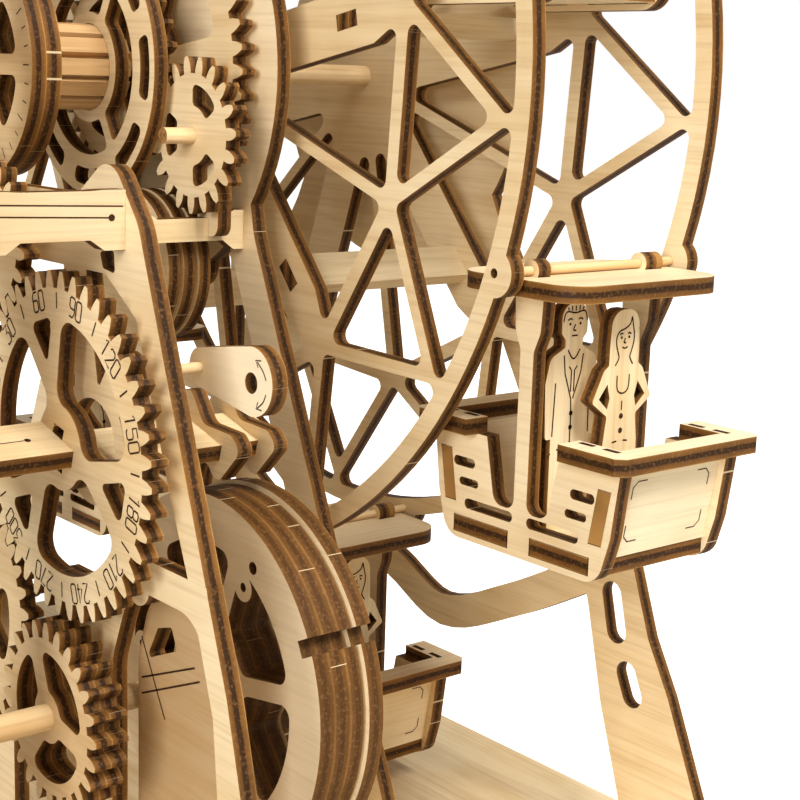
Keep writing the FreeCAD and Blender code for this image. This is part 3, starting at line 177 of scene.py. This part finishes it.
def plywood(name, thick_axis, origin, period, grain, seed, rule="axis", painted_light_shift=0.0, tilt=None, even=0.0):
    """laser-cut three-ply sheet: pale veneer on the faces, burnt plies on the cut edges"""
    t = Tree(name)
    coords = t.add("TexCoord", 3)
    normal = t.add("TexCoord", 1)
    if tilt:
        angle, centre = tilt
        coords = t.add("VectorRotate", props={"rotation_type": "Y_AXIS"}, Vector=coords, Center=centre,
                       Angle=math.radians(angle))
        normal = t.add("VectorRotate", props={"rotation_type": "Y_AXIS"}, Vector=normal,
                       Angle=math.radians(angle))
    px, py, pz = [t.add("SeparateXYZ", i, Vector=coords) for i in range(3)]
    nx, ny, nz = [t.math("ABSOLUTE", t.add("SeparateXYZ", i, Vector=normal)) for i in range(3)]
    axes = {"x": nx, "y": ny, "z": nz}
    places = {"x": px, "y": py, "z": pz}
    if rule == "axis":
        face = t.math("GREATER_THAN", axes[thick_axis], 0.72)
    elif rule == "tub":
        flat = t.math("GREATER_THAN", nz, 0.9)
        slanted = t.math("MULTIPLY", t.math("GREATER_THAN", nx, 0.9), t.math("GREATER_THAN", nz, 0.1))
        face = t.math("MAXIMUM", flat, slanted)
    elif rule == "broad":
        face = t.math("LESS_THAN", ny, 0.5)
    across = places[thick_axis]
    if rule == "handle":
        # the crank arm and the knob on it lie across the board
        off_mid = t.math("ABSOLUTE", t.math("SUBTRACT", py, (ARM_FRONT + SHEET / 2) * MM))
        on_arm = t.math("LESS_THAN", off_mid, 0.0021)
        off_arm = t.math("SUBTRACT", 1.0, on_arm)
        on_knob = t.math("MULTIPLY", off_arm, t.math("GREATER_THAN", px, KNOB_FROM_X * MM))
        arm_face = t.math("MULTIPLY", on_arm, t.math("GREATER_THAN", ny, 0.72))
        board_face = t.math("MULTIPLY", off_arm, t.math("GREATER_THAN", nz, 0.72))
        face = t.math("MAXIMUM", t.math("MAXIMUM", arm_face, board_face), on_knob)
        across = t.math("ADD", t.math("MULTIPLY", off_arm, pz),
                        t.math("MULTIPLY", on_arm, t.math("ADD", py, origin - ARM_FRONT * MM)))
    fine, wide = fibres(t, coords, grain, seed)
    blotch = t.add("TexNoise", Vector=coords, Scale=22.0 + seed % 5, Detail=3.0)
    veneer = t.mix(t.remap(wide, 0.35, 0.68, 0.0, 1.0), lin(FACE_DARK), lin(FACE))
    veneer = t.mix(t.remap(blotch, 0.38, 0.66, 0.0, 0.7), veneer, lin(FACE_LIGHT))
    veneer = t.mix(t.remap(fine, 0.3, 0.55, 0.22, 0.0), veneer, lin(FIBRE))
    # painted light and shade: a positive shift darkens the veneer towards the painted shade colour, a
    # negative one lightens it towards the painted light colour
    if painted_light_shift > 0:
        veneer = t.mix(painted_light_shift, veneer, lin(PAINTED_SHADE))
    if painted_light_shift < 0:
        veneer = t.mix(-painted_light_shift, veneer, lin(PAINTED_LIGHT))
    # cut edge
    depth = t.math("SUBTRACT", across, origin - 40 * period * MM)
    sheet_no = t.math("FLOOR", t.math("DIVIDE", depth, period * MM))
    t_raw = t.math("DIVIDE", t.math("MODULO", depth, period * MM), SHEET * MM)
    tex = t.add("TexNoise", Vector=t.vmath("MULTIPLY", coords, (420, 420, 420)), Scale=1.0, Detail=3.0)
    sway = t.add("TexNoise", Vector=t.vmath("MULTIPLY", coords, (90, 90, 90)), Scale=1.0, Detail=1.0)
    layer = t.math("ADD", t_raw, t.remap(sway, 0.3, 0.7, -0.03, 0.03))
    plies = t.ramp(layer, PLIES)
    burn = t.add("TexNoise", Vector=t.vmath("MULTIPLY", coords, (60, 60, 60)), Scale=1.0, Detail=2.0)
    plies = t.mix(t.remap(burn, 0.35, 0.62, 0.4, 0.0), plies, lin(SOOT))
    if even:
        plies = t.mix(even, plies, lin(EVEN_BURN))
    speck = t.add("TexNoise", Vector=t.vmath("MULTIPLY", coords, (1300, 1300, 1300)), Scale=1.0, Detail=2.0)
    plies = t.mix(t.remap(speck, 0.52, 0.72, 0.0, 0.22), plies, lin(SPECK))
    # pale ticks where the piece was held in its sheet
    if thick_axis == "y":
        across_x = t.math("MULTIPLY", px, t.add("SeparateXYZ", 2, Vector=normal))
        back_x = t.math("MULTIPLY", t.add("SeparateXYZ", 0, Vector=normal), -1.0)
        run = t.math("ADD", across_x, t.math("MULTIPLY", pz, back_x))
        cell = t.math("ADD", t.math("DIVIDE", run, 0.017), t.math("MULTIPLY", sheet_no, 0.37))
        key = t.math("ADD", t.math("FLOOR", cell), t.math("MULTIPLY", sheet_no, 31.7))
        spot = t.add("TexWhiteNoise", 0, {"noise_dimensions": "1D"}, W=key)
        at = t.math("LESS_THAN", t.math("FRACT", cell), 0.026)
        tick = t.math("MULTIPLY", at, t.math("GREATER_THAN", spot, 0.8))
        plies = t.mix(t.math("MULTIPLY", tick, 0.8), plies, lin(TICK))
    color = t.mix(face, plies, veneer)
    rough = t.mix(face, lin((190, 190, 190)), lin((176, 176, 176)))
    bump = t.math("MULTIPLY", t.math("ADD", fine, tex), 0.5)
    return t.finish(color, rough, bump, 0.3, 0.00015, 0.14)


def wood_rod(name, seed):
    t = Tree(name)
    coords = t.add("TexCoord", 3)
    normal = t.add("TexCoord", 1)
    ny = t.math("ABSOLUTE", t.add("SeparateXYZ", 1, Vector=normal))
    fine, wide = fibres(t, coords, 1, seed)
    body = t.mix(t.remap(wide, 0.35, 0.65, 0.0, 1.0), lin((214, 178, 126)), lin((236, 207, 160)))
    body = t.mix(t.remap(fine, 0.3, 0.5, 0.3, 0.0), body, lin((160, 116, 66)))
    rings = t.add("TexNoise", Vector=t.vmath("MULTIPLY", coords, (900, 900, 900)), Scale=1.0, Detail=2.0)
    end = t.mix(t.remap(rings, 0.35, 0.65, 0.0, 1.0), lin((172, 128, 76)), lin((122, 82, 44)))
    color = t.mix(t.math("GREATER_THAN", ny, 0.7), body, end)
    return t.finish(color, 0.6, fine, 0.25, 0.0001)


def turned_wood(name, seed):
    """collars and small turned hubs, a little darker"""
    t = Tree(name)
    coords = t.add("TexCoord", 3)
    fine, wide = fibres(t, coords, 1, seed)
    body = t.mix(t.remap(wide, 0.35, 0.65, 0.0, 1.0), lin((186, 142, 90)), lin((216, 178, 126)))
    body = t.mix(t.remap(fine, 0.3, 0.5, 0.35, 0.0), body, lin((120, 80, 42)))
    return t.finish(body, 0.62, fine, 0.25, 0.0001)


def burnt():
    t = Tree("engraving")
    coords = t.add("TexCoord", 3)
    n = t.add("TexNoise", Vector=t.vmath("MULTIPLY", coords, (1600, 1600, 1600)), Scale=1.0, Detail=2.0)
    color = t.mix(t.remap(n, 0.35, 0.65, 0.0, 1.0), lin((38, 22, 12)), lin((74, 46, 25)))
    return t.finish(color, 0.8, n, 0.2, 0.0001, 0.1)


BURNT = burnt()


def dress(name, mat):
    slots = nodes[name].material_slots
    if not slots:
        nodes[name].data.materials.append(mat)
        return
    for s in slots:
        s.material = mat


def low(name, axis):
    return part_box(name)[0][axis]


# distance in mm from one sheet's front to the next in the pieces that lie across Y
Y_SHEETS = dict.fromkeys([
    "front_outer_frame", "front_middle_frame", "front_inner_frame", "rear_frame", "idler_arm",
    "booth_panel", "wheel_near", "wheel_far", "front_drive_gear", "transfer_gear", "wheel_gear",
    "spool_dial", "spool_flange", "crank_gear", "upper_idler_gear", "lower_idler_gear", "drum_pinion",
    "timing_gear", "lever",
], SHEET)
Y_SHEETS.update({"crank_claws": 10, "guide_pulley": 4.55})
# painted light and shade per part: the lever and the inner frame lightened as painted light; the booth, the
# near wheel, the middle frame, the pinion and the lower idler darkened as painted shade
PAINTED_LIGHT_SHIFTS = {"lever": -0.6, "booth_panel": 0.6, "drum_pinion": 0.3, "lower_idler_gear": 0.2,
         "wheel_near": 0.08, "front_middle_frame": 0.05, "front_inner_frame": -0.2}
for i, (name, period) in enumerate(sorted(Y_SHEETS.items())):
    dress(name, plywood("ply_" + name, "y", low(name, 1), period, 0, i + 1, painted_light_shift=PAINTED_LIGHT_SHIFTS.get(name, 0.0)))
# the drum's veneer faces lightened as painted light
dress("drum_layers", plywood("ply_drum", "y", low("drum_layers", 1), 4.3333, 0, 31, painted_light_shift=-0.3, even=0.6))
# the upper beams' veneer darkened as painted shade
dress("upper_beams", plywood("ply_upper_beams", "x", -BEAM_X * MM, 2 * BEAM_X - SHEET, 1, 32, painted_light_shift=0.35))
dress("inner_beams", plywood("ply_inner_beams", "x", -INNER_BEAM_X * MM, 2 * INNER_BEAM_X - SHEET, 1, 33))
dress("base_board", plywood("ply_base", "z", 0.0, SHEET, 0, 34))
dress("wheel_spacers", plywood("ply_spacers", "x", 0.0, SHEET, 1, 35, "broad"))
SHAFT_MID = ((CRANK[0] + SHAFT_OFF[0]) * MM, 0, (CRANK[1] + SHAFT_OFF[1]) * MM)
HANDLE_MID = ((CRANK[0] + HANDLE_OFF[0]) * MM, 0, (CRANK[1] + HANDLE_OFF[1]) * MM)
HALF_SHEET = SHEET / 2 * MM
dress("crank_shaft", plywood("ply_shaft", "z", SHAFT_MID[2] - HALF_SHEET, SHEET, 1, 36,
                             tilt=(CRANK_TILT, SHAFT_MID)))
dress("crank_handle", plywood("ply_handle", "z", HANDLE_MID[2] - HALF_SHEET, SHEET, 1, 37, "handle",
                              tilt=(CRANK_TILT, HANDLE_MID)))
for name in ("wheel_axle", "gondola_rods", "gear_pins", "lever_peg", "drum_shaft"):
    dress(name, wood_rod("rod_" + name, len(name)))
dress("wheel_collars", turned_wood("collar_wood", 3))
dress("spool_core", turned_wood("slat_wood", 5))
for i in range(1, GONDOLAS + 1):
    g = "gondola_%d" % i
    x = (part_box(g + "_roof")[0][0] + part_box(g + "_roof")[1][0]) / 2
    # gondola sides, roof and tub lightened as painted light, the tub most
    dress(g + "_sides", plywood("ply_" + g + "_sides", "y", -0.0201, 36.2, 0, 40 + i, painted_light_shift=-0.15))
    dress(g + "_roof", plywood("ply_" + g + "_roof", "z", low(g + "_roof", 2), SHEET, 1, 50 + i, painted_light_shift=-0.15))
    rail_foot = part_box(g + "_tub")[1][2] - SHEET * MM
    dress(g + "_tub", plywood("ply_" + g + "_tub", "z", rail_foot, 25.5, 1, 60 + i, "tub", painted_light_shift=-0.25))
    dress(g + "_riders", plywood("ply_" + g + "_riders", "x", x - 0.002, 7.3, 2, 70 + i))


# engraving: flat dark strokes laid on a face


LIFT = 0.00006


class Sheet:
    """a plane with its own right and up directions, raised a little from its origin"""

    def __init__(self, origin, right, up, lift=LIFT):
        self.right = Vector(right).normalized()
        self.up = Vector(up).normalized()
        self.normal = self.right.cross(self.up)
        self.origin = Vector(origin) + self.normal * lift

    def at(self, p):
        return self.origin + self.right * (p[0] * MM) + self.up * (p[1] * MM)


SPOT_SIDES = 16


def arc(cx, cz, r, a0, a1, n):
    out = []
    for i in range(n + 1):
        a = math.radians(a0 + (a1 - a0) * i / n)
        out.append((cx + r * math.cos(a), cz + r * math.sin(a)))
    return out


def smooth(points, n=6):
    """curve through the points"""
    out = []
    last = len(points) - 1
    for i in range(last):
        p0, p1 = points[max(i - 1, 0)], points[i]
        p2, p3 = points[i + 1], points[min(i + 2, last)]
        for k in range(n):
            s = k / n
            q = []
            for j in (0, 1):
                q.append(0.5 * (2 * p1[j] + (p2[j] - p0[j]) * s
                                + (2 * p0[j] - 5 * p1[j] + 4 * p2[j] - p3[j]) * s * s
                                + (3 * p1[j] - p0[j] - 3 * p2[j] + p3[j]) * s ** 3))
            out.append(tuple(q))
    out.append(points[-1])
    return out


def stroke(bm, sheet, points, width):
    left = []
    right = []
    last = len(points) - 1
    for i, p in enumerate(points):
        a = Vector(points[max(i - 1, 0)])
        b = Vector(points[min(i + 1, last)])
        d = b - a
        if d.length < 1e-9:
            d = Vector((1, 0))
        d.normalize()
        off = Vector((-d.y, d.x)) * (width / 2)
        left.append(bm.verts.new(sheet.at((p[0] + off.x, p[1] + off.y))))
        right.append(bm.verts.new(sheet.at((p[0] - off.x, p[1] - off.y))))
    for i in range(last):
        bm.faces.new((right[i], right[i + 1], left[i + 1], left[i]))


def spot(bm, sheet, c, r):
    ring = arc(c[0], c[1], r, 0, 360, SPOT_SIDES)[:-1]
    patch(bm, sheet, ring)


def patch(bm, sheet, points):
    bm.faces.new([bm.verts.new(sheet.at(p)) for p in points])


def engrave(name, body, sheet, lines=(), spots=(), patches=(), width=0.32):
    bm = bmesh.new()
    for line in lines:
        stroke(bm, sheet, line, width)
    for s in spots:
        spot(bm, sheet, *s)
    for p in patches:
        patch(bm, sheet, p)
    mesh = bpy.data.meshes.new(name)
    bm.to_mesh(mesh)
    bm.free()
    obj = bpy.data.objects.new(name, mesh)
    bpy.context.scene.collection.objects.link(obj)
    mesh.materials.append(BURNT)
    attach(obj, body)
    return obj


# single-stroke numerals in a box 2 wide and 4 high, middle at the origin
DIGITS = {
    "0": [[(-0.6, -2), (-1, -1.6), (-1, 1.6), (-0.6, 2), (0.6, 2), (1, 1.6), (1, -1.6), (0.6, -2),
           (-0.6, -2)]],
    "1": [[(0.1, -2), (0.1, 2), (-0.7, 1.2)]],
    "2": [[(-1, 1.4), (-0.6, 2), (0.6, 2), (1, 1.5), (1, 0.7), (-1, -2), (1, -2)]],
    "3": [[(-1, 2), (1, 2), (-0.2, 0.3), (0.6, 0.3), (1, -0.2), (1, -1.5), (0.6, -2), (-0.6, -2),
           (-1, -1.5)]],
    "4": [[(0.5, -2), (0.5, 2), (-1, -0.9), (1, -0.9)]],
    "5": [[(1, 2), (-0.9, 2), (-0.9, 0.4), (0.6, 0.4), (1, 0), (1, -1.6), (0.6, -2), (-0.6, -2),
           (-1, -1.5)]],
    "6": [[(0.9, 2), (-0.4, 2), (-1, 1.2), (-1, -1.6), (-0.6, -2), (0.6, -2), (1, -1.6), (1, -0.1),
           (0.6, 0.3), (-1, 0.3)]],
    "7": [[(-1, 2), (1, 2), (-0.3, -2)]],
    "8": [[(-0.6, 0.2), (-0.9, 0.6), (-0.9, 1.6), (-0.5, 2), (0.5, 2), (0.9, 1.6), (0.9, 0.6), (0.6, 0.2),
           (-0.6, 0.2), (-1, -0.3), (-1, -1.6), (-0.6, -2), (0.6, -2), (1, -1.6), (1, -0.3), (0.6, 0.2)]],
    "9": [[(-0.9, -2), (0.4, -2), (1, -1.2), (1, 1.6), (0.6, 2), (-0.6, 2), (-1, 1.6), (-1, 0.1),
           (-0.6, -0.3), (1, -0.3)]],
}


def numeral(text, cx, cz, turn, size, pitch):
    """strokes of a number, turned by degrees about its middle"""
    out = []
    c, s = math.cos(math.radians(turn)), math.sin(math.radians(turn))
    start = -(len(text) - 1) * pitch / 2
    for i, ch in enumerate(text):
        for line in DIGITS[ch]:
            pts = []
            for x, z in line:
                u = start + i * pitch + x * size / 4
                v = z * size / 4
                pts.append((cx + u * c - v * s, cz + u * s + v * c))
            out.append(pts)
    return out


def front(y, x=0.0, z=0.0):
    """sheet on a front face (towards -Y) at height y, its zero at x, z in mm"""
    return Sheet((x * MM, y * MM, z * MM), (1, 0, 0), (0, 0, 1))


def radial(a, r0, r1):
    """short line from one radius to another at an angle in degrees"""
    c, s = math.cos(math.radians(a)), math.sin(math.radians(a))
    return [(r0 * c, r0 * s), (r1 * c, r1 * s)]


# numbers on the crank gear, with a tick half way to the next one
NUMBER_STEP = 30
NUMBER_ZERO = 166
NUMBER_R = 32.0
NUMBER_SIZE = 4.3
NUMBER_PITCH = 2.8
NUMBER_TICK = (30.3, 33.8)
lines = []
for n in range(NUMBER_STEP, 361, NUMBER_STEP):
    a = NUMBER_ZERO - n
    cx, cz = NUMBER_R * math.cos(math.radians(a)), NUMBER_R * math.sin(math.radians(a))
    lines += numeral(str(n), cx, cz, a - 90, NUMBER_SIZE, NUMBER_PITCH)
    lines.append(radial(a - NUMBER_STEP / 2, *NUMBER_TICK))
engrave("crank_numbers", "crank", front(GEAR_FACE, *CRANK), lines, width=0.42)

# graduation of the spool dial
DIAL_TICKS = 36
DIAL_TICK_R = (24.6, 26.6)
DIAL_LONG_TICK_R = 23.6
lines = []
for i in range(DIAL_TICKS):
    start = DIAL_LONG_TICK_R if i % 3 == 0 else DIAL_TICK_R[0]
    lines.append(radial(360 / DIAL_TICKS * i, start, DIAL_TICK_R[1]))
engrave("dial_ticks", "wheel", front(DIAL_FACE, 0, WHEEL_Z), lines, width=0.3)

# two lines along each upper beam, one ending in a dot
for side, tag in ((1, "right"), (-1, "left")):
    sheet = Sheet((side * BEAM_X * MM, 0, 0), (0, side, 0), (0, 0, 1))
    pts = [[(side * -139, 180.9), (side * -108.2, 180.0)], [(side * -139, 178.6), (side * -111.4, 177.7)]]
    engrave("beam_lines_" + tag, "frame", sheet, pts, [((side * -110.9, 177.7), 0.75)], width=0.3)

# curved arrows round the hole of the lever
lines = [
    smooth([(115.3, 145.1), (114.1, 146.9), (112.0, 148.6)]),
    [(113.4, 149.0), (111.4, 148.8), (112.4, 147.4)],
    smooth([(115.3, 142.1), (114.3, 140.3), (112.2, 138.7)]),
    [(113.8, 138.5), (111.8, 138.5), (112.4, 140.0)],
]
engrave("lever_arrows", "lever_arm", front(LEVER_FACE), lines)

# scored lines on the booth panel
lines = [[(85.5, 83.0), (95.4, 66.3)], [(85.5, 73.2), (107.5, 82.2)], [(85.5, 69.4), (109.5, 79.7)]]
engrave("booth_lines", "frame", front(BOOTH_FACE), lines, width=0.45)

# line and dot on the handle board
tilt = math.radians(CRANK_TILT)
top = Sheet(HANDLE_MID, (math.cos(tilt), 0, math.sin(tilt)), (0, 1, 0), HALF_SHEET + LIFT)
engrave("handle_line", "crank", top, [[(0.3, -155.0), (0.3, -123.7)]], [((0.3, -122.8), 0.75)], width=0.28)


# gondolas: plaque brackets and the two riders' dress
MAN_LINES = [
    smooth([(-3.9, 50.3), (-3.5, 52.0), (-2.6, 52.7), (0, 52.3), (2.6, 52.7), (3.5, 52.0), (3.9, 50.3)]),
    [(-2.6, 53.7), (-2.3, 53.0)], [(-1.3, 54.0), (-1.2, 52.8)], [(0, 54.0), (0, 52.7)],
    [(1.3, 54.0), (1.2, 52.8)], [(2.6, 53.7), (2.3, 53.0)],
    smooth([(-2.5, 50.6), (-1.7, 51.0), (-1.0, 50.7)]), smooth([(1.0, 50.7), (1.7, 51.0), (2.5, 50.6)]),
    smooth([(0.1, 49.6), (-0.5, 48.3), (0.4, 48.1)]),
    [(-1.0, 46.9), (1.0, 46.9)],
    smooth([(-2.0, 43.6), (-0.9, 42.0), (0, 41.4), (0.9, 42.0), (2.0, 43.6)]),
    [(-1.3, 39.6), (-0.5, 38.6), (-0.5, 33.5)], [(1.3, 39.6), (0.5, 38.6), (0.5, 33.5)],
    [(-3.2, 42.4), (-2.6, 38.0), (-0.3, 31.8), (0, 28.0)], [(3.2, 42.4), (2.6, 38.0), (0.3, 31.8)],
    [(0.0, 28.0), (0.0, 21.5)],
    smooth([(0, 21.5), (-0.8, 20.3), (-2.6, 19.8), (-4.3, 19.9)]),
    smooth([(0, 21.5), (0.8, 20.3), (2.6, 19.8), (4.3, 19.9)]),
    [(-5.6, 36.0), (-6.0, 23.2)], [(5.6, 36.0), (6.0, 23.2)],
    [(-6.3, 19.2), (-7.2, 18.2)],
    [(0, 15.5), (0, 2.0)],
]
MAN_SPOTS = [((-1.7, 49.7), 0.36), ((1.7, 49.7), 0.36), ((0, 28.3), 0.62), ((0, 24.9), 0.62)]
WOMAN_LINES = [
    smooth([(2.0, 51.6), (1.4, 49.9), (-0.2, 48.9), (-2.0, 48.3), (-2.9, 47.0), (-2.9, 45.3), (-2.2, 43.2)]),
    smooth([(2.0, 51.6), (2.5, 49.5), (3.0, 47.4), (2.9, 45.3), (2.2, 43.2)]),
    smooth([(-2.2, 43.2), (-1.9, 41.9), (-3.0, 40.2)]), smooth([(2.2, 43.2), (1.9, 41.9), (3.0, 40.2)]),
    smooth([(-1.9, 47.5), (-1.3, 47.8), (-0.8, 47.6)]), smooth([(0.8, 47.6), (1.3, 47.8), (1.9, 47.5)]),
    smooth([(0, 46.6), (-0.4, 45.6), (0.3, 45.5)]),
    smooth([(-0.9, 44.5), (0, 44.2), (0.9, 44.5)]),
    smooth([(-2.1, 37.8), (-2.0, 35.2), (-1.4, 33.9), (0, 33.4), (1.4, 33.9), (2.0, 35.2), (2.1, 37.8)]),
    [(0, 31.6), (0, 29.3)],
    [(-2.6, 21.7), (-1.1, 21.9)], [(1.1, 21.9), (2.6, 21.7)],
    [(0, 16.0), (0, 2.0)],
]
WOMAN_SPOTS = [((-1.3, 46.8), 0.34), ((1.3, 46.8), 0.34), ((0, 27.9), 0.7), ((0, 24.4), 0.7)]
PLAQUE_HALF = (13.0, 7.4)
RAIL_SLOT_X = (-26.75, -19.25, 19.25, 26.75)
RAIL_SLOT_Y = (-18.8, 18.8)
RAIL_SLOT_HALF = (2.25, 0.8)
for i in range(GONDOLAS):
    a = math.radians(FIRST_PIVOT + 360 / GONDOLAS * i)
    px, pz = PIVOT_R * math.cos(a), WHEEL_Z + PIVOT_R * math.sin(a)
    body = "gondola_%d" % (i + 1)
    floor_z = (pz + FLOOR_TOP) * MM
    man = Sheet(((px + MAN_FACE[0]) * MM, MAN_FACE[1] * MM, floor_z), (0, 1, 0), (0, 0, 1))
    woman = Sheet(((px + WOMAN_FACE[0]) * MM, WOMAN_FACE[1] * MM, floor_z), (0, 1, 0), (0, 0, 1))
    engrave(body + "_man_lines", body, man, MAN_LINES, MAN_SPOTS, width=0.4)
    engrave(body + "_woman_lines", body, woman, WOMAN_LINES, WOMAN_SPOTS, width=0.4)
    for s in (1, -1):
        hi, lo = Vector(END_TOP), Vector(END_FOOT)
        run = (hi - lo).normalized()
        mid = (hi + lo) / 2
        plaque = Sheet(((px + s * mid.x) * MM, 0, (pz + mid.y) * MM), (0, s, 0), (s * run.x, 0, run.y))
        brackets = []
        for su in (-1, 1):
            for sv in (-1, 1):
                u, v = su * PLAQUE_HALF[0], sv * PLAQUE_HALF[1]
                brackets.append([(u - su * 4.4, v), (u - su * 1.4, v), (u, v - sv * 1.4), (u, v - sv * 4.2)])
        engrave(body + ("_plaque_right" if s > 0 else "_plaque_left"), body, plaque, brackets, width=0.3)
    rail_top = Sheet((px * MM, 0, (pz + RAIL_TOP) * MM), (1, 0, 0), (0, 1, 0))
    dx, dy = RAIL_SLOT_HALF
    slots = []
    for x in RAIL_SLOT_X:
        for y in RAIL_SLOT_Y:
            slots.append([(x - dx, y - dy), (x + dx, y - dy), (x + dx, y + dy), (x - dx, y + dy)])
    engrave(body + "_rail_slots", body, rail_top, patches=slots)


# floor, light and camera


def stage_floor():
    t = Tree("floor_white")
    ray = t.add("LightPath", 0)
    coords = t.add("TexCoord", 3)
    n = t.add("TexNoise", Vector=coords, Scale=3.0)
    shade = t.mix(t.remap(n, 0.3, 0.7, 0.0, 1.0), (0.86, 0.86, 0.86, 1), (0.88, 0.88, 0.88, 1))
    shade = t.mix(ray, (0.5, 0.49, 0.47, 1), shade)
    diffuse = t.tree.nodes.new("ShaderNodeBsdfDiffuse")
    t.put(diffuse.inputs[0], shade)
    glow = t.tree.nodes.new("ShaderNodeEmission")
    glow.inputs[0].default_value = (1, 1, 1, 1)
    t.put(glow.inputs[1], t.math("MULTIPLY", ray, 0.72))
    both = t.tree.nodes.new("ShaderNodeAddShader")
    t.tree.links.new(diffuse.outputs[0], both.inputs[0])
    t.tree.links.new(glow.outputs[0], both.inputs[1])
    out = t.tree.nodes.new("ShaderNodeOutputMaterial")
    t.tree.links.new(both.outputs[0], out.inputs[0])
    bm = bmesh.new()
    bmesh.ops.create_grid(bm, x_segments=8, y_segments=8, size=4.0)
    mesh = bpy.data.meshes.new("floor")
    bm.to_mesh(mesh)
    bm.free()
    mesh.materials.append(t.mat)
    floor = bpy.data.objects.new("floor", mesh)
    floor.location = (0, 0, -0.0002)
    bpy.context.scene.collection.objects.link(floor)


stage_floor()

world = bpy.data.worlds.new("studio")
world.use_nodes = True
wt = world.node_tree
wt.nodes.clear()
path = wt.nodes.new("ShaderNodeLightPath")
soft_sky = wt.nodes.new("ShaderNodeBackground")
soft_sky.inputs[0].default_value = (1.0, 0.985, 0.96, 1)
soft_sky.inputs[1].default_value = 0.4
white_sky = wt.nodes.new("ShaderNodeBackground")
white_sky.inputs[0].default_value = (1, 1, 1, 1)
white_sky.inputs[1].default_value = 1.0
mixer = wt.nodes.new("ShaderNodeMixShader")
wt.links.new(path.outputs["Is Camera Ray"], mixer.inputs[0])
wt.links.new(soft_sky.outputs[0], mixer.inputs[1])
wt.links.new(white_sky.outputs[0], mixer.inputs[2])
world_out = wt.nodes.new("ShaderNodeOutputWorld")
wt.links.new(mixer.outputs[0], world_out.inputs[0])
bpy.context.scene.world = world


def lamp(name, place, target, size, power, color=(1, 1, 1)):
    data = bpy.data.lights.new(name, "AREA")
    data.size = size
    data.energy = power
    data.color = color
    obj = bpy.data.objects.new(name, data)
    obj.location = place
    obj.rotation_euler = (Vector(target) - Vector(place)).to_track_quat("-Z", "Y").to_euler()
    bpy.context.scene.collection.objects.link(obj)


lamp("key", (1.3, 0.0, 1.7), (0.1, 0, 0.2), 0.8, 48, (1, 0.985, 0.95))
lamp("fill", (0.95, -1.8, 0.75), (0, 0, 0.2), 1.1, 32, (1, 0.99, 0.97))

# camera: a close view from the front right, at the height of the wheel's axle
right = Vector((0.6377, 0.7697, 0.0315))
up = Vector((-0.1708, 0.1014, 0.9801))
look = Vector((-0.7512, 0.6303, -0.1961))
cam_data = bpy.data.cameras.new("camera")
cam_data.sensor_width = 36
cam_data.lens = 72.29
cam_data.clip_start = 0.01
cam_data.clip_end = 50
cam = bpy.data.objects.new("camera", cam_data)
turn = Matrix((right, up, -look)).transposed().to_4x4()
cam.matrix_world = Matrix.Translation((0.3847, -0.2772, 0.2076)) @ turn
bpy.context.scene.collection.objects.link(cam)
bpy.context.scene.camera = cam
bpy.context.scene.view_settings.view_transform = "Standard"
